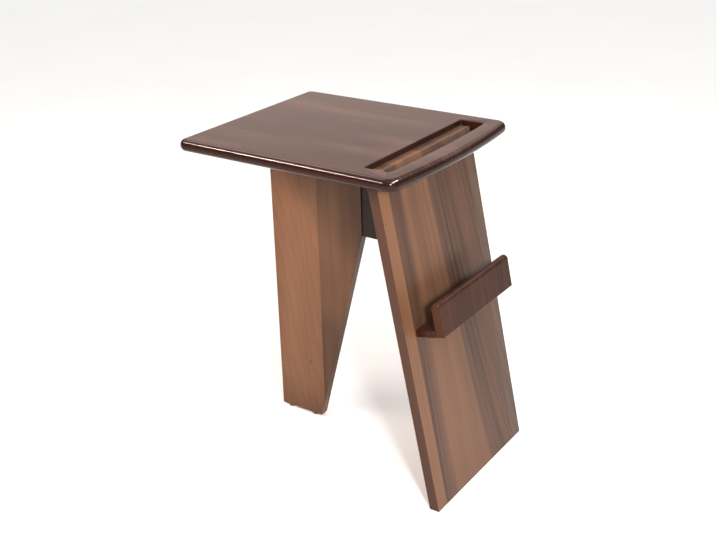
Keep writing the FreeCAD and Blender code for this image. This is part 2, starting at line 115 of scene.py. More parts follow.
def feed(tree: Tree, node: Node, links: Links) -> None:
    """Sets or links a node's inputs.

    Args:
        tree: The node's tree.
        node: The node.
        links: Input name or index to a value, to a socket, or to a node whose first output is meant.
    """
    for key, source in links.items():
        if isinstance(source, Node):
            source = next(socket for socket in source.outputs if socket.enabled)
        if isinstance(source, Socket):
            tree.links.new(source, node.inputs[key])
        else:
            node.inputs[key].default_value = source


def add_node(tree: Tree, kind: str, links: Links | None = None, **settings: Any) -> Node:
    """Adds a node with its settings, values and links.

    Args:
        tree: The tree that gets the node.
        kind: The node's type.
        links: The node's inputs, as feed takes them.
        settings: Properties of the node itself.

    Returns:
        The new node.
    """
    node = tree.nodes.new(kind)
    for name, setting in settings.items():
        setattr(node, name, setting)
    feed(tree, node, links or {})
    return node


def new_material(name: str) -> tuple[Material, Tree, Node]:
    """Makes an empty node material with an output and a Principled shader.

    Args:
        name: The material's name.

    Returns:
        The material, its tree and its shader.
    """
    material = bpy.data.materials.new(name)
    material.use_nodes = True
    tree = material.node_tree
    tree.nodes.clear()
    shader = add_node(tree, "ShaderNodeBsdfPrincipled")
    add_node(tree, "ShaderNodeOutputMaterial", {"Surface": shader})
    return material, tree, shader


@dataclass(frozen=True)
class GrainPattern:
    """A noise that is drawn out along the grain.

    Attributes:
        across_mm: Its size across the grain.
        along_mm: Its size along the grain.
        detail: Noise detail.
    """

    across_mm: float
    along_mm: float
    detail: float


# The noises that the woods are drawn with. Real fibres and pores of 0.2 mm are too fine to show,
# so they are drawn 1 to 2 mm wide.
RING_WANDER = GrainPattern(45.0, 260.0, 2.0)
CLOUDS = GrainPattern(60.0, 420.0, 2.0)
FIBRES = GrainPattern(1.6, 70.0, 3.0)
PORES = GrainPattern(0.9, 11.0, 2.0)
STRIP_SWAY = GrainPattern(30.0, 500.0, 1.0)
STRIP_LINES = GrainPattern(3.4, 520.0, 2.0)
# A streak is this many times as long as it is wide.
STREAK_STRETCH = 44.0
STREAK_DETAIL = 2.0

# Rings are flat across the grain, darken slowly by this power, and turn pale in their first part.
ACROSS_GRAIN = (1.0, 1.0, 0.0)
LATE_POWER = 3.0
RING_START = 0.16
# About the middle of the ring pattern, which keeps rings from changing a piece's tone.
RING_MIDDLE = 0.6

# A pin knot that runs along Y, a little longer with the grain: radii of its core and rim, and its tone.
KNOT_STRETCH = (1.0, 0.0, 0.7)
KNOT_MM = (0.8, 3.2)
KNOT_TONE = -0.8

# Tones of the dark, middle and light colour, on a scale from 0 to 1.
DARK_TONE = 0.12
MIDDLE_TONE = 0.5
LIGHT_TONE = 0.88

# Noise levels at which the strips' dark lines and the pores set in, and at which they are full.
LINE_EDGES = (0.04, 0.2)
PORE_EDGES = (0.12, 0.24)
# How far pores darken the wood, and how deep they are beside the fibres.
PORE_TINT = 0.22
PORE_DEPTH = 0.6

# The lacquer follows the grain a little, is duller in some streaks, and bends light as clear varnish does.
GRAIN_BUMP = 0.12
GRAIN_BUMP_MM = 0.2
STREAK_GLOSS = 0.16
LACQUER_IOR = 1.5


@dataclass(frozen=True)
class Strip:
    """One strip of tone across a piece, from its start up to the next strip.

    Attributes:
        start_mm: Where the strip starts, along Y.
        tone: How much lighter (above 0) or darker (below 0) the strip is than the rest.
        lines: Strength of the dark lines along the strip.
    """

    start_mm: float
    tone: float
    lines: float = 0.0


@dataclass(frozen=True)
class WoodFinish:
    """Wood, lacquered, oiled or bare: growth rings, fibres and pores run with the grain.

    Attributes:
        name: The material's name.
        dark: Colour of the latewood lines.
        middle: Colour of most of the wood.
        light: Colour of the palest earlywood.
        turn_deg: Turn that brings the grain upright in the pattern's own frame.
        pith_mm: A point on the middle of the tree, in the pattern's own frame.
        ring_mm: Distance between growth rings.
        wander_mm: How far the rings wander from true circles.
        taper: How much each ring narrows per millimetre up the trunk, which draws the arches.
        ring_weight: Strength of the rings.
        fibre_weight: Strength of the fine fibres.
        streak_weight: Strength of the broader streaks.
        streak_mm: Width of the broader streaks.
        cloud_weight: Strength of the broad changes of tone.
        tone: Lightness of the whole piece, 0 dark to 1 light.
        roughness: Roughness of the surface.
        specular: Strength of its mirror, weaker than on a smooth coat, as pores break it.
        strips: Strips of tone across the piece, from the lowest Y up.
        strip_blur_mm: Half the width over which one strip turns into the next.
        strip_sway_mm: How far a strip's edge sways.
        knot_mm: A point on a pin knot that runs along Y, where there is one.
        fan: How much the grain spreads per millimetre towards the foot.
        fan_mm: Place along Y from which the grain spreads.
        foot_shade_tone: Painted shade: how much darker (below 0) the piece is at its foot, where less light
            reaches it.
        foot_shade_mm: Heights between which that painted shade fades out.
        edge_stain: How far stain that soaks into the rounded edges hides the pattern there, 0 to 1.
    """

    name: str
    dark: str
    middle: str
    light: str
    turn_deg: Place = (0.0, 0.0, 0.0)
    pith_mm: Place = (0.0, 60.0, 0.0)
    ring_mm: float = 7.0
    wander_mm: float = 14.0
    taper: float = 0.0
    ring_weight: float = 0.28
    fibre_weight: float = 0.14
    streak_weight: float = 0.25
    streak_mm: float = 5.0
    cloud_weight: float = 0.5
    tone: float = 0.5
    roughness: float = 0.38
    specular: float = 0.2
    strips: tuple[Strip, ...] = ()
    strip_blur_mm: float = 6.0
    strip_sway_mm: float = 8.0
    knot_mm: Place | None = None
    fan: float = 0.0
    fan_mm: float = 0.0
    foot_shade_tone: float = 0.0
    foot_shade_mm: tuple[float, float] = (0.0, 1.0)
    edge_stain: float = 0.0

    def _fanned(self, tree: Tree, place: Source) -> Source:
        """Spreads the grain from one line across the piece.

        Args:
            tree: The material's tree.
            place: A place in millimetres, grain along Z.

        Returns:
            The place, whose distance from that line is stretched with height.
        """
        if not self.fan:
            return place
        parts = add_node(tree, SEPARATE, {0: place}).outputs
        spread = add_node(tree, MATH, {0: parts["Z"], 1: self.fan, 2: 1.0}, operation="MULTIPLY_ADD")
        away = add_node(tree, MATH, {0: parts["Y"], 1: self.fan_mm}, operation="SUBTRACT")
        across = add_node(tree, MATH, {0: away, 1: spread, 2: self.fan_mm}, operation="MULTIPLY_ADD")
        return add_node(tree, COMBINE, {0: parts["X"], 1: across, 2: parts["Z"]})

    def _noise(self, tree: Tree, place: Source, pattern: GrainPattern) -> Source:
        """Adds a noise that is drawn out along the grain.

        Args:
            tree: The material's tree.
            place: A place in millimetres, grain along Z.
            pattern: The noise's sizes and detail.

        Returns:
            The noise, about -0.5 to 0.5.
        """
        scale = (1 / pattern.across_mm, 1 / pattern.across_mm, 1 / pattern.along_mm)
        stretched = add_node(tree, VECTOR_MATH, {0: place, 1: scale}, operation="MULTIPLY")
        noise = add_node(tree, NOISE, {"Vector": stretched, "Scale": 1.0, "Detail": pattern.detail})
        return add_node(tree, MATH, {0: noise, 1: NOISE_MIDDLE}, operation="SUBTRACT")

    def _rings(self, tree: Tree, place: Source) -> Source:
        """Makes the growth rings: slow to darken, quick to turn pale again.

        Args:
            tree: The material's tree.
            place: A place in millimetres, grain along Z.

        Returns:
            The ring pattern, below 0 in latewood and above 0 in earlywood.
        """
        from_pith = add_node(tree, VECTOR_MATH, {0: place, 1: self.pith_mm}, operation="SUBTRACT")
        flat = add_node(tree, VECTOR_MATH, {0: from_pith, 1: ACROSS_GRAIN}, operation="MULTIPLY")
        radius = add_node(tree, VECTOR_MATH, {0: flat}, operation="LENGTH")
        wander = self._noise(tree, place, RING_WANDER)
        bent = add_node(tree, MATH, {0: wander, 1: 2 * self.wander_mm, 2: radius}, operation="MULTIPLY_ADD")
        along = add_node(tree, SEPARATE, {0: from_pith}).outputs["Z"]
        bent = add_node(tree, MATH, {0: along, 1: self.taper, 2: bent}, operation="MULTIPLY_ADD")
        turns = add_node(tree, MATH, {0: bent, 1: self.ring_mm}, operation="DIVIDE")
        share = add_node(tree, MATH, {0: turns}, operation="FRACT")
        late = add_node(tree, MATH, {0: share, 1: LATE_POWER}, operation="POWER")
        early = add_node(tree, MATH, {0: 1.0, 1: late}, operation="SUBTRACT")
        start = add_node(tree, MAP_RANGE, {"Value": share, "From Min": 0.0, "From Max": RING_START})
        rings = add_node(tree, MATH, {0: early, 1: start}, operation="MULTIPLY")
        return add_node(tree, MATH, {0: rings, 1: RING_MIDDLE}, operation="SUBTRACT")

    def _strip_tone(self, tree: Tree, place: Source) -> Source:
        """Steps the tone and the dark lines from strip to strip across the piece.

        Args:
            tree: The material's tree.
            place: A place in millimetres, grain along Z.

        Returns:
            The change of tone, plain 0 where there are no strips.
        """
        if not self.strips:
            return 0.0
        across = add_node(tree, SEPARATE, {0: place}).outputs["Y"]
        sway = self._noise(tree, place, STRIP_SWAY)
        across = add_node(
            tree, MATH, {0: sway, 1: 2 * self.strip_sway_mm, 2: across}, operation="MULTIPLY_ADD"
        )
        tone: Source = self.strips[0].tone
        lines: Source = self.strips[0].lines
        for before, strip in zip(self.strips, self.strips[1:]):
            low = strip.start_mm - self.strip_blur_mm
            high = strip.start_mm + self.strip_blur_mm
            passed = add_node(tree, MAP_RANGE, {"Value": across, "From Min": low, "From Max": high})
            step = strip.tone - before.tone
            tone = add_node(tree, MATH, {0: passed, 1: step, 2: tone}, operation="MULTIPLY_ADD")
            step = strip.lines - before.lines
            lines = add_node(tree, MATH, {0: passed, 1: step, 2: lines}, operation="MULTIPLY_ADD")
        grain = self._noise(tree, place, STRIP_LINES)
        low, high = LINE_EDGES
        dark = add_node(tree, MAP_RANGE, {"Value": grain, "From Min": low, "From Max": high, "To Max": -1.0})
        return add_node(tree, MATH, {0: dark, 1: lines, 2: tone}, operation="MULTIPLY_ADD")

    def _fades(self, tree: Tree, place: Source) -> list[Source]:
        """Darkens a pin knot about 4 mm wide, and paints shade over the piece's foot.

        Args:
            tree: The material's tree.
            place: A place in millimetres, grain along Z.

        Returns:
            The changes of tone, none where the piece has neither.
        """
        fades = []
        if self.knot_mm is not None:
            away = add_node(tree, VECTOR_MATH, {0: place, 1: self.knot_mm}, operation="SUBTRACT")
            flat = add_node(tree, VECTOR_MATH, {0: away, 1: KNOT_STRETCH}, operation="MULTIPLY")
            fades.append((add_node(tree, VECTOR_MATH, {0: flat}, operation="LENGTH"), KNOT_MM, KNOT_TONE))
        # Painted shade: the piece darkens towards its foot, where less light reaches it.
        if self.foot_shade_tone:
            height = add_node(tree, SEPARATE, {0: place}).outputs["Z"]
            fades.append((height, self.foot_shade_mm, self.foot_shade_tone))
        changes = []
        for value, (low, high), tone in fades:
            ends = {"Value": value, "From Min": low, "From Max": high, "To Min": tone, "To Max": 0.0}
            changes.append(add_node(tree, MAP_RANGE, ends, interpolation_type="SMOOTHSTEP"))
        return changes

    def _edge_plain(self, tree: Tree, normal: Source, tone: Source) -> Source:
        """Draws the tone towards the piece's plain one where the surface turns away from level.

        Args:
            tree: The material's tree.
            normal: The surface's direction.
            tone: The tone so far.

        Returns:
            The tone, as it was where no stain soaks in.
        """
        if not self.edge_stain:
            return tone
        up = add_node(tree, SEPARATE, {0: normal}).outputs["Z"]
        level = add_node(tree, MATH, {0: up, 1: up}, operation="MULTIPLY")
        stain = {0: level, 1: -self.edge_stain, 2: self.edge_stain}
        share = add_node(tree, MATH, stain, operation="MULTIPLY_ADD")
        change = add_node(tree, MATH, {0: self.tone, 1: tone}, operation="SUBTRACT")
        return add_node(tree, MATH, {0: share, 1: change, 2: tone}, operation="MULTIPLY_ADD")

    def material(self) -> Material:
        """Builds the material.

        Returns:
            A procedural wood on Object coordinates.
        """
        material, tree, shader = new_material(self.name)
        coordinates = add_node(tree, "ShaderNodeTexCoord").outputs
        turn = tuple(math.radians(angle) for angle in self.turn_deg)
        scale = (PER_METRE, PER_METRE, PER_METRE)
        upright = {"Vector": coordinates["Object"], "Rotation": turn, "Scale": scale}
        place = self._fanned(tree, add_node(tree, "ShaderNodeMapping", upright))
        fibres = self._noise(tree, place, FIBRES)
        streak = GrainPattern(self.streak_mm, STREAK_STRETCH * self.streak_mm, STREAK_DETAIL)
        streaks = self._noise(tree, place, streak)
        weights = (
            (self._rings(tree, place), self.ring_weight),
            (fibres, self.fibre_weight),
            (streaks, self.streak_weight),
            (self._noise(tree, place, CLOUDS), self.cloud_weight),
        )
        tone: Source = self.tone
        for pattern, weight in weights:
            tone = add_node(tree, MATH, {0: pattern, 1: weight, 2: tone}, operation="MULTIPLY_ADD")
        for change in (self._strip_tone(tree, place), *self._fades(tree, place)):
            tone = add_node(tree, MATH, {0: tone, 1: change}, operation="ADD")
        tone = self._edge_plain(tree, coordinates["Normal"], tone)
        ramp = add_node(tree, "ShaderNodeValToRGB", {"Fac": tone})
        stops = ramp.color_ramp.elements
        stops[0].position, stops[0].color = DARK_TONE, linear(self.dark)
        stops[1].position, stops[1].color = LIGHT_TONE, linear(self.light)
        stops.new(MIDDLE_TONE).color = linear(self.middle)
        low, high = PORE_EDGES
        pores = self._noise(tree, place, PORES)
        pits = add_node(tree, MAP_RANGE, {"Value": pores, "From Min": low, "From Max": high})
        tint = add_node(tree, MATH, {0: pits, 1: PORE_TINT}, operation="MULTIPLY")
        pitted = {"Factor": tint, "A": ramp, "B": linear(self.dark)}
        gloss = {0: streaks, 1: STREAK_GLOSS, 2: self.roughness}
        depth = add_node(tree, MATH, {0: pits, 1: -PORE_DEPTH, 2: fibres}, operation="MULTIPLY_ADD")
        bump = {"Height": depth, "Strength": GRAIN_BUMP, "Distance": GRAIN_BUMP_MM * MM}
        feed(tree, shader, {
            "Base Color": add_node(tree, MIX, pitted, data_type="RGBA"),
            "Roughness": add_node(tree, MATH, gloss, operation="MULTIPLY_ADD"),
            "Normal": add_node(tree, BUMP, bump),
            "IOR": LACQUER_IOR,
            "Specular IOR Level": self.specular,
        })
        return material


@dataclass(frozen=True)
class PatchyFinish:
    """A surface of two close tones in soft patches.

    Attributes:
        name: The material's name.
        first: Colour of one tone.
        second: Colour of the other.
        patch_mm: Size of a patch.
        roughness: Roughness, of the first tone where the second has its own.
        second_roughness: Roughness of the second tone, where it differs.
        detail: Noise detail of the patches.
        metallic: 1 for a metal.
        ior: Refractive index.
        specular: Strength of the mirror.
        bump: Strength of the relief that follows the patches.
        bump_mm: Depth of that relief.
    """

    name: str
    first: str
    second: str
    patch_mm: float
    roughness: float
    second_roughness: float | None = None
    detail: float = 2.0
    metallic: float = 0.0
    ior: float = 1.5
    specular: float = 0.5
    bump: float = 0.0
    bump_mm: float = 0.0

    def material(self) -> Material:
        """Builds the material.

        Returns:
            A patchy surface on Object coordinates.
        """
        material, tree, shader = new_material(self.name)
        spot = add_node(tree, "ShaderNodeTexCoord").outputs["Object"]
        scale = 1 / (self.patch_mm * MM)
        patches = add_node(tree, NOISE, {"Vector": spot, "Scale": scale, "Detail": self.detail})
        tones = {"Factor": patches, "A": linear(self.first), "B": linear(self.second)}
        surface: Links = {
            "Base Color": add_node(tree, MIX, tones, data_type="RGBA"), "Roughness": self.roughness,
            "Metallic": self.metallic, "IOR": self.ior, "Specular IOR Level": self.specular,
        }
        if self.second_roughness is not None:
            worn = {"Value": patches, "To Min": self.roughness, "To Max": self.second_roughness}
            surface["Roughness"] = add_node(tree, MAP_RANGE, worn)
        if self.bump:
            relief = {"Height": patches, "Strength": self.bump, "Distance": self.bump_mm * MM}
            surface["Normal"] = add_node(tree, BUMP, relief)
        feed(tree, shader, surface)
        return material


class Finish(Enum):
    """The finishes of the table's pieces and of the floor, each from what the real surface is, but for
    painted shade on the leg's foot and the stretcher.
    """

    # Dark walnut stain under satin lacquer; it turns grey where it mirrors the room.
    TOP = WoodFinish(
        "stained_walnut_top", "#120501", "#250F08", "#4A342C", turn_deg=(0.0, 90.0, 0.0),
        pith_mm=(90.0, 400.0, 0.0), ring_mm=9.0, ring_weight=0.14, fibre_weight=0.2, streak_weight=0.26,
        streak_mm=7.0, cloud_weight=1.2, tone=0.48, roughness=0.13, specular=0.16, edge_stain=0.9,
    )
    # Flat-sawn walnut: faint arches whose lines run down to the right across the post, and painted shade on
    # its foot.
    POST = WoodFinish(
        "flat_sawn_walnut_post", "#4F3120", "#69462F", "#7C563C", pith_mm=(-232.0, 26.0, 0.0), ring_mm=17.0,
        wander_mm=26.0, taper=0.2, ring_weight=0.11, fibre_weight=0.1, streak_weight=0.2, streak_mm=9.0,
        cloud_weight=0.6, knot_mm=(-124.6, 0.0, 118.7), foot_shade_tone=-0.22, foot_shade_mm=(10.0, 85.0),
    )
    # A darker, plainer stave with soft upright clouds, and a painted shadow over its lower part.
    WING = WoodFinish(
        "plain_walnut_wing", "#3C2618", "#553926", "#6B4C35", pith_mm=(260.0, 60.0, 0.0), ring_mm=24.0,
        wander_mm=24.0, ring_weight=0.06, fibre_weight=0.1, streak_weight=0.2, streak_mm=12.0,
        cloud_weight=0.84, foot_shade_tone=-0.18, foot_shade_mm=(195.0, 255.0),
    )
    # Darker walnut, darkened further to about the top's tone as painted shade for the deep shade under the
    # top.
    STRETCHER = WoodFinish(
        "walnut_stretcher_painted_shade", "#180905", "#251109", "#341A0F", turn_deg=(0.0, 90.0, 0.0),
        pith_mm=(-300.0, 90.0, 0.0), ring_mm=11.0, ring_weight=0.14,
    )
    # Striped walnut: a dark strip, a wide pale one and a grey-brown one with dark lines.
    PANEL = WoodFinish(
        "striped_walnut_panel", "#32211B", "#583C2C", "#77523A", turn_deg=(0.0, LEAN_DEG, 0.0),
        pith_mm=(-60.0, -420.0, 0.0), ring_mm=19.0, wander_mm=9.0, ring_weight=0.05, fibre_weight=0.12,
        streak_weight=0.34, streak_mm=15.0, cloud_weight=0.48, strip_blur_mm=9.0, fan=0.001, fan_mm=-100.0,
        strips=(
            Strip(-140.0, -0.12, 0.5), Strip(-92.0, 0.12, 0.06), Strip(36.0, -0.1, 0.4),
            Strip(84.0, -0.08, 0.4),
        ),
    )
    # The near lipping is pale in front, and its side is banded with a darker strip.
    LIPPING_NEAR = WoodFinish(
        "pale_walnut_lipping", "#3F261B", "#6A4831", "#7F583B", turn_deg=(0.0, LEAN_DEG, 0.0),
        pith_mm=(300.0, 500.0, 0.0), ring_mm=10.0, wander_mm=6.0, ring_weight=0.06, fibre_weight=0.12,
        strips=(Strip(-160.0, -0.42), Strip(-153.3, 0.04)), strip_blur_mm=0.3, strip_sway_mm=0.0,
    )
    # The far lipping is close to the grey-brown strip beside it.
    LIPPING_FAR = WoodFinish(
        "grey_walnut_lipping", "#362723", "#5D4738", "#7E604A", turn_deg=(0.0, LEAN_DEG, 0.0),
        pith_mm=(-60.0, -420.0, 0.0), ring_mm=19.0, wander_mm=9.0, ring_weight=0.05, fibre_weight=0.12,
        cloud_weight=0.4, fan=0.001, fan_mm=-100.0, strips=(Strip(100.0, -0.08, 0.3),),
    )
    # Dark red-brown walnut, with its stripes running up the lip.
    TRAY = WoodFinish(
        "red_brown_walnut_tray", "#26120B", "#361C10", "#4B291A", turn_deg=(0.0, LEAN_DEG, 0.0),
        pith_mm=(250.0, -500.0, 0.0), ring_mm=9.0, wander_mm=8.0, ring_weight=0.06, fibre_weight=0.2,
        streak_weight=0.9, streak_mm=10.0, roughness=0.3, specular=0.1,
    )
    # Plain hardwood, oiled: paler and duller than the boards round it.
    CLEAT = WoodFinish(
        "oiled_cleat", "#7A5A40", "#9A7554", "#B58F6B", turn_deg=(0.0, 90.0, 0.0),
        pith_mm=(-560.0, 40.0, 0.0), ring_mm=5.0, wander_mm=5.0, roughness=0.5,
    )
    # Bare birch inside the joints: pale, with fine rings and almost no shine.
    TONGUE = WoodFinish(
        "bare_birch_tongue", "#B08B62", "#CBA77B", "#DDBE95", ring_mm=1.5, wander_mm=2.0, ring_weight=0.2,
        roughness=0.6,
    )
    # Zinc-plated steel: a pale glint, broken by darker patches that have gone dull.
    STEEL = PatchyFinish(
        "zinc_plated_steel", "#B9B6AE", "#8F8C84", patch_mm=1.5, roughness=0.25, second_roughness=0.5,
        detail=3.0, metallic=1.0,
    )
    # Black moulded nylon: a matt skin whose fine spark texture keeps highlights broad and weak.
    NYLON = PatchyFinish(
        "moulded_nylon", "#1C1917", "#37312D", patch_mm=0.6, roughness=0.55, ior=1.53, bump=0.3, bump_mm=0.1,
    )
    # Pale matt paint with a faint unevenness, which keeps the floor from looking blank.
    FLOOR = PatchyFinish(
        "pale_floor", "#F4F3F1", "#F8F7F5", patch_mm=PER_METRE / 3, roughness=0.85, specular=0.2,
    )

    @cache
    def material(self) -> Material:
        """Makes the finish's material the first time, and gives the same one after that."""
        return self.value.material()


def add_object(name: str, data: bpy.types.ID) -> bpy.types.Object:
    """Adds an object to the scene.

    Args:
        name: The object's name.
        data: Its mesh, light or camera.

    Returns:
        The new object.
    """
    thing = bpy.data.objects.new(name, data)
    bpy.context.scene.collection.objects.link(thing)
    return thing


def dress(mesh: Mesh, finish: Finish) -> None:
    """Gives a mesh one finish all over."""
    mesh.materials.clear()
    mesh.materials.append(finish.material())


def shade_smooth(mesh: Mesh, sharp_deg: float) -> None:
    """Shades a mesh smooth, but for edges that turn by more than an angle."""
    mesh.polygons.foreach_set("use_smooth", [True] * len(mesh.polygons))
    mesh.set_sharp_from_angle(angle=math.radians(sharp_deg))


def plain_mesh(holder: bpy.types.Object, name: str) -> Mesh:
    """Turns an object and its modifiers into a plain mesh, and removes the object.

    Args:
        holder: The object.
        name: The plain mesh's name.

    Returns:
        The plain mesh.
    """
    graph = bpy.context.evaluated_depsgraph_get()
    mesh = bpy.data.meshes.new_from_object(holder.evaluated_get(graph))
    spare = holder.data
    bpy.data.objects.remove(holder)
    bpy.data.meshes.remove(spare)
    mesh.name = name
    return mesh


def add_piece(mesh: Mesh, slot: str, node: str) -> None:
    """Adds a finished mesh as a piece that stands for a CAD node.

    Args:
        mesh: The piece's mesh, in place, with the piece's name.
        slot: The record's material slot; not used.
        node: The CAD node that it stands for.
    """
    piece = add_object(mesh.name, mesh)
    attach(piece, ROOT)
    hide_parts(node)
    log.info("%s: %d faces", piece.name, len(mesh.polygons))


def merged_copy(node: str) -> Shape:
    """Copies a CAD node's mesh with its loose triangles joined.

    Args:
        node: The CAD node's name.

    Returns:
        A new bmesh, which the caller frees.
    """
    shape = bmesh.new()
    shape.from_mesh(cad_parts[node].data)
    bmesh.ops.remove_doubles(shape, verts=shape.verts, dist=WELD_MM * MM)
    return shape


def order_of(points: list[Vector]) -> tuple[float, ...]:
    """Gives what a solid's points add up to, rounded, to put solids in order by."""
    return tuple(round(sum(point[axis] for point in points), ORDER_DIGITS) for axis in range(3))


def solids_of(node: str) -> list[list[Vector]]:
    """Lists the corner points of each separate solid in a CAD node.

    Args:
        node: The CAD node's name.

    Returns:
        One list of points for each solid, in a steady order.
    """
    shape = merged_copy(node)
    left = set(shape.verts)
    found = []
    for start in list(shape.verts):
        if start not in left:
            continue
        island = []
        waiting = [start]
        left.discard(start)
        while waiting:
            vertex = waiting.pop()
            island.append(vertex.co.copy())
            for edge in vertex.link_edges:
                other = edge.other_vert(vertex)
                if other in left:
                    left.discard(other)
                    waiting.append(other)
        found.append(island)
    shape.free()
    return sorted(found, key=order_of)


@dataclass
class Board:
    """A board that keeps its CAD shape and gets smooth rounded edges.

    Attributes:
        node: The CAD node.
        slot: The record's material slot.
        finish: The board's finish.
        sharp_deg: Edges that turn by more than this stay sharp.
    """

    node: str
    slot: str
    finish: Finish
    sharp_deg: float = 35.0

    def _smooth_mesh(self) -> Mesh:
        """Builds the smooth mesh.

        Returns:
            The joined mesh, shaded smooth between its sharp edges.
        """
        shape = merged_copy(self.node)
        bmesh.ops.dissolve_limit(
            shape, angle_limit=math.radians(FLAT_DEG), verts=shape.verts, edges=shape.edges,
            delimit={"NORMAL"},
        )
        many = [face for face in shape.faces if len(face.verts) > MOST_CORNERS]
        bmesh.ops.triangulate(shape, faces=many)
        mesh = bpy.data.meshes.new(self.node)
        shape.to_mesh(mesh)
        shape.free()
        shade_smooth(mesh, self.sharp_deg)
        return mesh

    def build(self) -> None:
        """Builds and dresses the board, in place of its CAD node."""
        rough = add_object(f"{self.node}_rough", self._smooth_mesh())
        weighted = rough.modifiers.new("flat_faces", "WEIGHTED_NORMAL")
        weighted.keep_sharp = True
        weighted.weight = FLAT_FACE_WEIGHT
        mesh = plain_mesh(rough, f"{self.node}_board")
        dress(mesh, self.finish)
        add_piece(mesh, self.slot, self.node)


@dataclass
class Boards:
    """All the table's boards and cleats.

    Attributes:
        boards: The boards, then the cleats.
    """

    boards: tuple[Board, ...] = (
        Board("table_top", "top_wood", Finish.TOP),
        Board("leg_post", "leg_wood", Finish.POST),
        Board("leg_wing", "wing_wood", Finish.WING),
        Board("stretcher", "stretcher_wood", Finish.STRETCHER),
        Board("rack_panel", "panel_wood", Finish.PANEL),
        Board("panel_lipping_near", "lipping_wood", Finish.LIPPING_NEAR),
        Board("panel_lipping_far", "lipping_wood", Finish.LIPPING_FAR),
        Board("tray_ledge", "tray_wood", Finish.TRAY),
        Board("tray_lip", "tray_wood", Finish.TRAY),
        Board("leg_cleat_near", "cleat_wood", Finish.CLEAT),
        Board("leg_cleat_far", "cleat_wood", Finish.CLEAT),
        Board("panel_cleat_near", "cleat_wood", Finish.CLEAT),
        Board("panel_cleat_far", "cleat_wood", Finish.CLEAT),
    )

    def build(self) -> None:
        """Builds every board."""
        for board in self.boards:
            board.build()


@dataclass
class Glides:
    """Turned glide pads with a rounded tread, under the leg's foot.

    Attributes:
        node: The CAD node.
        slot: The record's material slot.
        steps: Sides of the turned shape.
        curve_steps: Steps along each rounded edge.
        tread_mm: Radius of the rounded tread.
        rim_mm: Radius of the eased upper rim.
        sharp_deg: Edges that turn by more than this stay sharp.
    """

    node: str = "glide_pads"
    slot: str = "glide_plastic"
    steps: int = 48
    curve_steps: int = 6
    tread_mm: float = 2.2
    rim_mm: float = 0.5
    sharp_deg: float = 50.0

    def _profile(self, radius: float, low: float, high: float) -> list[tuple[float, float]]:
        """Gives radius and height along a pad's outline, from the tread's middle to the top's middle.

        Args:
            radius: The pad's radius.
            low: Height of the tread.
            high: Height of the pad's upper face.

        Returns:
            Pairs of radius and height.
        """
        tread = self.tread_mm * MM
        rim = self.rim_mm * MM
        turns = [math.pi / 2 * step / self.curve_steps for step in range(self.curve_steps + 1)]
        outline = [(0.0, low)]
        outline += [(radius - tread + tread * math.sin(a), low + tread - tread * math.cos(a)) for a in turns]
        outline += [(radius - rim + rim * math.cos(a), high - rim + rim * math.sin(a)) for a in turns]
        outline.append((0.0, high))
        return outline

    def _add_pad(self, shape: Shape, points: list[Vector]) -> None:
        """Turns one pad.

        Args:
            shape: The mesh that gets the pad.
            points: The corner points of the pad's CAD solid.
        """
        lows = [min(point[axis] for point in points) for axis in range(3)]
        highs = [max(point[axis] for point in points) for axis in range(3)]
        middle = Vector(((lows[0] + highs[0]) / 2, (lows[1] + highs[1]) / 2, 0.0))
        angles = [2 * math.pi * step / self.steps for step in range(self.steps)]
        rows = []
        for reach, height in self._profile((highs[0] - lows[0]) / 2, lows[2], highs[2]):
            ways = angles if reach else angles[:1]
            places = [Vector((reach * math.cos(a), reach * math.sin(a), height)) for a in ways]
            rows.append([shape.verts.new(middle + place) for place in places])
        for lower, upper in zip(rows, rows[1:]):
            for step in range(self.steps):
                after = (step + 1) % self.steps
                corners = [lower[step % len(lower)], lower[after % len(lower)]]
                corners += [upper[after % len(upper)], upper[step % len(upper)]]
                shape.faces.new(list(dict.fromkeys(corners)))

    def build(self) -> None:
        """Builds and dresses both pads as one piece."""
        shape = bmesh.new()
        for points in solids_of(self.node):
            self._add_pad(shape, points)
        bmesh.ops.recalc_face_normals(shape, faces=shape.faces)
        mesh = bpy.data.meshes.new(f"{self.node}_turned")
        shape.to_mesh(mesh)
        shape.free()
        shade_smooth(mesh, self.sharp_deg)
        dress(mesh, Finish.NYLON)
        add_piece(mesh, self.slot, self.node)


# How finely a screw is drawn: the ball of its head, its shank, a turn of its thread and the thread's ridge.
HEAD_SIDES = 32
HEAD_RINGS = 15
SHANK_SIDES = 20
COIL_STEPS = 16
RIDGE_SIDES = 4
# The sizes that the screws' node tree takes.
SCREW_SIZES = ("Head Diameter", "Head Height", "Shank Diameter", "Shank Length", "Pitch", "Recess Width")


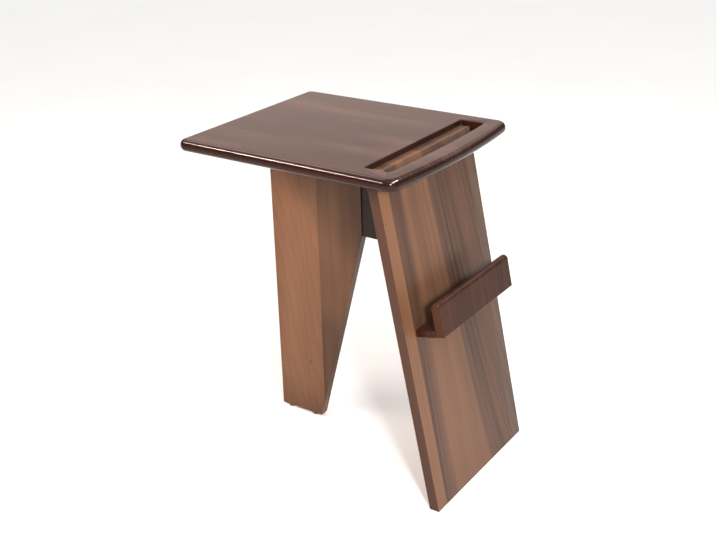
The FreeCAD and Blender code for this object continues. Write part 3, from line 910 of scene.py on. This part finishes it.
@dataclass
class Screws:
    """Round-headed wood screws with a cross recess and a thread, made by one node tree.

    Attributes:
        slot: The record's material slot.
        head_mm: Diameter of the head.
        head_height_mm: Height of the head.
        shank_mm: Diameter of the shank.
        pitch_mm: Distance between the thread's turns.
        recess_mm: Width of the recess's arms.
        cutter_share: Height of the bar that cuts the recess, in head heights; half of it cuts.
        core_share: Radius of the shank inside its thread, in shank diameters.
        ridge_share: Radius of the thread's ridge, in radii of the shank.
        thread_share: How much of the shank's length is threaded.
        sharp_deg: Edges that turn by more than this stay sharp.
    """

    slot: str = "screw_steel"
    head_mm: float = 7.2
    head_height_mm: float = 2.4
    shank_mm: float = 3.8
    pitch_mm: float = 1.8
    recess_mm: float = 0.9
    cutter_share: float = 1.1
    core_share: float = 0.36
    ridge_share: float = 0.36
    thread_share: float = 0.9
    sharp_deg: float = 40.0

    def _head(self, tree: Tree, given: Sockets) -> Node:
        """Makes the head: a flattened ball, cut flat where it sits on the wood, with a crossed recess.

        Args:
            tree: The screws' tree.
            given: The tree's inputs.

        Returns:
            The node that gives the head, its seat at 0 and its crown below.
        """
        wide = given["Head Diameter"]
        arm = given["Recess Width"]
        radius = add_node(tree, MATH, {0: wide, 1: 2.0}, operation="DIVIDE")
        block = add_node(tree, MATH, {0: wide, 1: 2.0}, operation="MULTIPLY")
        crown = add_node(tree, MATH, {0: given["Head Height"], 1: -1.0}, operation="MULTIPLY")
        depth = add_node(tree, MATH, {0: given["Head Height"], 1: self.cutter_share}, operation="MULTIPLY")
        parts = {"Segments": HEAD_SIDES, "Rings": HEAD_RINGS, "Radius": 1.0}
        ball = add_node(tree, "GeometryNodeMeshUVSphere", parts)
        flattened = add_node(tree, COMBINE, {0: radius, 1: radius, 2: given["Head Height"]})
        head = add_node(tree, TRANSFORM, {"Geometry": ball, "Scale": flattened})
        cutters = (
            ({0: block, 1: block, 2: block}, wide),
            ({0: radius, 1: arm, 2: depth}, crown),
            ({0: arm, 1: radius, 2: depth}, crown),
        )
        for sides, height in cutters:
            bar = add_node(tree, "GeometryNodeMeshCube", {"Size": add_node(tree, COMBINE, sides)})
            lift = add_node(tree, COMBINE, {2: height})
            moved = add_node(tree, TRANSFORM, {"Geometry": bar, "Translation": lift})
            head = add_node(
                tree, "GeometryNodeMeshBoolean", {"Mesh 1": head, "Mesh 2": moved},
                operation="DIFFERENCE", solver="EXACT",
            )
        return head

    def _shank(self, tree: Tree, given: Sockets) -> tuple[Node, Node]:
        """Makes the shank and the coiled ridge of its thread.

        Args:
            tree: The screws' tree.
            given: The tree's inputs.

        Returns:
            The nodes that give the shank and the thread, both from 0 up.
        """
        length = given["Shank Length"]
        core = add_node(tree, MATH, {0: given["Shank Diameter"], 1: self.core_share}, operation="MULTIPLY")
        rod_sizes = {"Vertices": SHANK_SIDES, "Radius": core, "Depth": length}
        rod = add_node(tree, "GeometryNodeMeshCylinder", rod_sizes)
        half = add_node(tree, MATH, {0: length, 1: 2.0}, operation="DIVIDE")
        lift = add_node(tree, COMBINE, {2: half})
        shank = add_node(tree, TRANSFORM, {"Geometry": rod, "Translation": lift})
        threaded = add_node(tree, MATH, {0: length, 1: self.thread_share}, operation="MULTIPLY")
        turns = add_node(tree, MATH, {0: threaded, 1: given["Pitch"]}, operation="DIVIDE")
        coil_sizes = {
            "Resolution": COIL_STEPS, "Rotations": turns,
            "Start Radius": core, "End Radius": core, "Height": threaded,
        }
        coil = add_node(tree, "GeometryNodeCurveSpiral", coil_sizes)
        thick = add_node(tree, MATH, {0: core, 1: self.ridge_share}, operation="MULTIPLY")
        ridge_sizes = {"Resolution": RIDGE_SIDES, "Radius": thick}
        ridge = add_node(tree, "GeometryNodeCurvePrimitiveCircle", ridge_sizes)
        swept = {"Curve": coil, "Profile Curve": ridge, "Fill Caps": True}
        return shank, add_node(tree, "GeometryNodeCurveToMesh", swept)

    def _tree(self) -> Tree:
        """Builds the node tree that sets a screw on every point.

        Returns:
            The tree, with named inputs for the screw's sizes.
        """
        tree = bpy.data.node_groups.new("round_headed_screws", "GeometryNodeTree")
        sockets = tree.interface
        sockets.new_socket("Geometry", in_out="INPUT", socket_type="NodeSocketGeometry")
        for name in SCREW_SIZES:
            sockets.new_socket(name, in_out="INPUT", socket_type="NodeSocketFloat")
        sockets.new_socket("Direction", in_out="INPUT", socket_type="NodeSocketVector")
        sockets.new_socket("Material", in_out="INPUT", socket_type="NodeSocketMaterial")
        sockets.new_socket("Geometry", in_out="OUTPUT", socket_type="NodeSocketGeometry")
        given = add_node(tree, "NodeGroupInput").outputs
        whole = add_node(tree, "GeometryNodeJoinGeometry")
        for part in (self._head(tree, given), *self._shank(tree, given)):
            feed(tree, whole, {"Geometry": part})
        turn = add_node(tree, "FunctionNodeAlignRotationToVector", {"Vector": given["Direction"]}, axis="Z")
        seats = {"Points": given["Geometry"], "Instance": whole, "Rotation": turn}
        spread = add_node(tree, "GeometryNodeInstanceOnPoints", seats)
        real = add_node(tree, "GeometryNodeRealizeInstances", {"Geometry": spread})
        coloured = {"Geometry": real, "Material": given["Material"]}
        add_node(tree, "NodeGroupOutput", {"Geometry": add_node(tree, "GeometryNodeSetMaterial", coloured)})
        return tree

    def _seats(self, node: str, direction: Vector) -> tuple[list[Vector], float]:
        """Finds where each screw's head meets the wood.

        Args:
            node: The CAD node of the screws.
            direction: The way that the screws point.

        Returns:
            The seats, and the length of a shank.
        """
        seats = []
        length = 0.0
        for points in solids_of(node):
            along = [point.dot(direction) for point in points]
            middle = sum(points, Vector()) / len(points)
            on_axis = middle - direction * middle.dot(direction)
            seats.append(on_axis + direction * (min(along) + self.head_height_mm * MM))
            length = max(along) - min(along) - self.head_height_mm * MM
        return seats, length

    def _set_row(self, tree: Tree, node: str, direction: Vector) -> None:
        """Sets one CAD node's screws.

        Args:
            tree: The node tree that makes a screw.
            node: The CAD node of the screws.
            direction: The way that the screws point.
        """
        seats, length = self._seats(node, direction)
        points = bpy.data.meshes.new(f"{node}_seats")
        points.from_pydata([tuple(seat) for seat in seats], [], [])
        holder = add_object(f"{node}_seats", points)
        modifier = holder.modifiers.new("screws", "NODES")
        modifier.node_group = tree
        sizes = {
            "Head Diameter": self.head_mm * MM,
            "Head Height": self.head_height_mm * MM,
            "Shank Diameter": self.shank_mm * MM,
            "Shank Length": length,
            "Pitch": self.pitch_mm * MM,
            "Recess Width": self.recess_mm * MM,
            "Direction": tuple(direction),
            "Material": Finish.STEEL.material(),
        }
        for item in tree.interface.items_tree:
            if item.in_out == "INPUT" and item.name in sizes:
                modifier[item.identifier] = sizes[item.name]
        mesh = plain_mesh(holder, f"{node}_round_headed")
        shade_smooth(mesh, self.sharp_deg)
        add_piece(mesh, self.slot, node)

    def build(self) -> None:
        """Builds the screws of the cleats and of the tray."""
        tree = self._tree()
        self._set_row(tree, "cleat_screws", UP)
        self._set_row(tree, "tray_screws", FROM_PANEL)


@dataclass
class JointPieces:
    """The tongues and nails inside the joints, which keep their CAD shape.

    Attributes:
        tongues: CAD nodes of the loose tongues.
        nails: CAD nodes of the nails.
    """

    tongues: tuple[str, ...] = (
        "leg_tongue", "stretcher_tongue", "panel_tongue", "lipping_tongue_near", "lipping_tongue_far",
        "lip_tongue",
    )
    nails: tuple[str, ...] = ("glide_nails",)

    def dress(self) -> None:
        """Gives every inner piece its finish."""
        for names, finish in ((self.tongues, Finish.TONGUE), (self.nails, Finish.STEEL)):
            for name in names:
                dress(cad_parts[name].data, finish)
                log.info("%s: dressed", name)


def aimed(at: Place, to: Place) -> Matrix:
    """Gives the place of a light or camera that faces a point.

    Args:
        at: Where it stands.
        to: What it faces.

    Returns:
        Its matrix.
    """
    facing = (Vector(to) - Vector(at)).to_track_quat("-Z", "Y")
    return Matrix.Translation(at) @ facing.to_matrix().to_4x4()


@dataclass(frozen=True)
class Softbox:
    """A soft light of the studio.

    Attributes:
        name: The light's name.
        at: Where it hangs.
        to: What it faces.
        sides: Its width and height, in metres.
        watts: Its power.
        colour: Its colour.
        grid_deg: How wide its grid lets the light spread.
        shine_only: Whether it shows only where lacquer mirrors it.
    """

    name: str
    at: Place
    to: Place
    sides: tuple[float, float]
    watts: float
    colour: str = WHITE
    grid_deg: float = 180.0
    shine_only: bool = False

    def hang(self) -> None:
        """Adds the light to the scene."""
        data = bpy.data.lights.new(self.name, "AREA")
        data.shape = "RECTANGLE"
        data.size, data.size_y = self.sides
        data.energy = self.watts
        data.spread = math.radians(self.grid_deg)
        data.color = linear(self.colour)[:3]
        lamp = add_object(self.name, data)
        lamp.visible_diffuse = not self.shine_only
        lamp.matrix_world = aimed(self.at, self.to)


# Where the two strip lights hang, at the left of the table's near side.
STRIP_LIGHTS_AT = (-1.13, -1.15, 1.66)

SOFTBOXES = (
    # The key, at the right of the camera, which throws the panel's shadow on the leg.
    Softbox("key", (1.77, -1.61, 1.45), (0.05, 0.0, 0.35), (0.4, 0.4), 85.0),
    # Fills the shaded sides, and draws a fine line along the top's near edge.
    Softbox("fill_strip", STRIP_LIGHTS_AT, (-0.05, -0.19, 0.59), (1.2, 0.05), 20.0, MILD),
    # Adds to that line; its grid keeps it off most of the rest.
    Softbox("edge_strip", STRIP_LIGHTS_AT, (-0.03, -0.19, 0.73), (1.2, 0.06), 2.3, MILD, 24.0),
    # A soft sheen where the top's face turns into its near edge.
    Softbox("canopy", (-1.12, 0.56, 1.94), (0.0, -0.19, 0.6), (1.6, 0.8), 1.0, WARM, 30.0),
    # The brown sheen on the top's face.
    Softbox("back_panel", (-0.95, 1.78, 1.38), (0.0, 0.0, 0.6), (2.0, 1.0), 6.5, WARM),
    # The highlight round the top's near corner.
    Softbox(
        "corner_card", (1.47, 0.2, 2.33), (0.185, -0.18, 0.597), (2.6, 0.4), 400.0, CREAM, shine_only=True,
    ),
    # The soft shoulder along the top's bowed edge.
    Softbox("bow_card", (0.5, 1.8, 1.85), (0.19, 0.0, 0.595), (1.3, 0.9), 6.5, WARM, shine_only=True),
)


@dataclass
class Studio:
    """A pale floor, soft light and the camera.

    Attributes:
        camera_at: Where the camera stands, in metres.
        camera_to: What it looks at.
        roll_deg: How far the camera leans to one side.
        lens_mm: Its lens.
        sensor_mm: Width of its sensor.
        floor_half_m: Half the floor's width.
        floor_cells: Cells along each side of the floor.
        room_light: Strength of the even light from all round.
        overhead_light: Strength of the light from straight above.
        overhead_deg: How wide that light is, which softens its shadows.
        softboxes: The lights that hang round the table.
    """

    camera_at: Place = (1.0324, -1.5005, 1.1471)
    camera_to: Place = (-0.0125, -0.0001, 0.3374)
    roll_deg: float = -1.5
    lens_mm: float = 55.0
    sensor_mm: float = 36.0
    floor_half_m: float = 6.0
    floor_cells: int = 8
    room_light: float = 0.36
    overhead_light: float = 1.9
    overhead_deg: float = 90.0
    softboxes: tuple[Softbox, ...] = SOFTBOXES

    def build(self) -> None:
        """Builds the floor, the lights and the camera."""
        self._floor()
        self._world()
        self._overhead()
        for softbox in self.softboxes:
            softbox.hang()
        self._camera()
        bpy.context.scene.view_settings.view_transform = "Standard"

    def _floor(self) -> None:
        """Lays the floor."""
        shape = bmesh.new()
        bmesh.ops.create_grid(
            shape, x_segments=self.floor_cells, y_segments=self.floor_cells, size=self.floor_half_m
        )
        mesh = bpy.data.meshes.new("floor")
        shape.to_mesh(mesh)
        shape.free()
        dress(mesh, Finish.FLOOR)
        floor = add_object("floor", mesh)

    def _world(self) -> None:
        """Fills the room with even white light."""
        world = bpy.data.worlds.new("studio_room")
        world.use_nodes = True
        shade = world.node_tree.nodes["Background"]
        feed(world.node_tree, shade, {"Color": linear(WHITE), "Strength": self.room_light})
        bpy.context.scene.world = world

    def _overhead(self) -> None:
        """Lights the floor evenly from straight above, with very soft shadows."""
        data = bpy.data.lights.new("overhead", "SUN")
        data.energy = self.overhead_light
        data.angle = math.radians(self.overhead_deg)
        add_object("overhead", data)

    def _camera(self) -> None:
        """Sets the camera up at the table's usual viewing angle."""
        data = bpy.data.cameras.new("camera")
        data.lens = self.lens_mm
        data.sensor_width = self.sensor_mm
        camera = add_object("camera", data)
        roll = Matrix.Rotation(math.radians(self.roll_deg), 4, "Z")
        camera.matrix_world = aimed(self.camera_at, self.camera_to) @ roll
        bpy.context.scene.camera = camera


def main() -> None:
    """Builds the table's pieces and the studio."""
    logging.basicConfig(level=logging.INFO, format="%(name)s %(message)s")
    Boards().build()
    Glides().build()
    Screws().build()
    JointPieces().dress()
    Studio().build()


if __name__ == "__main__":
    main()
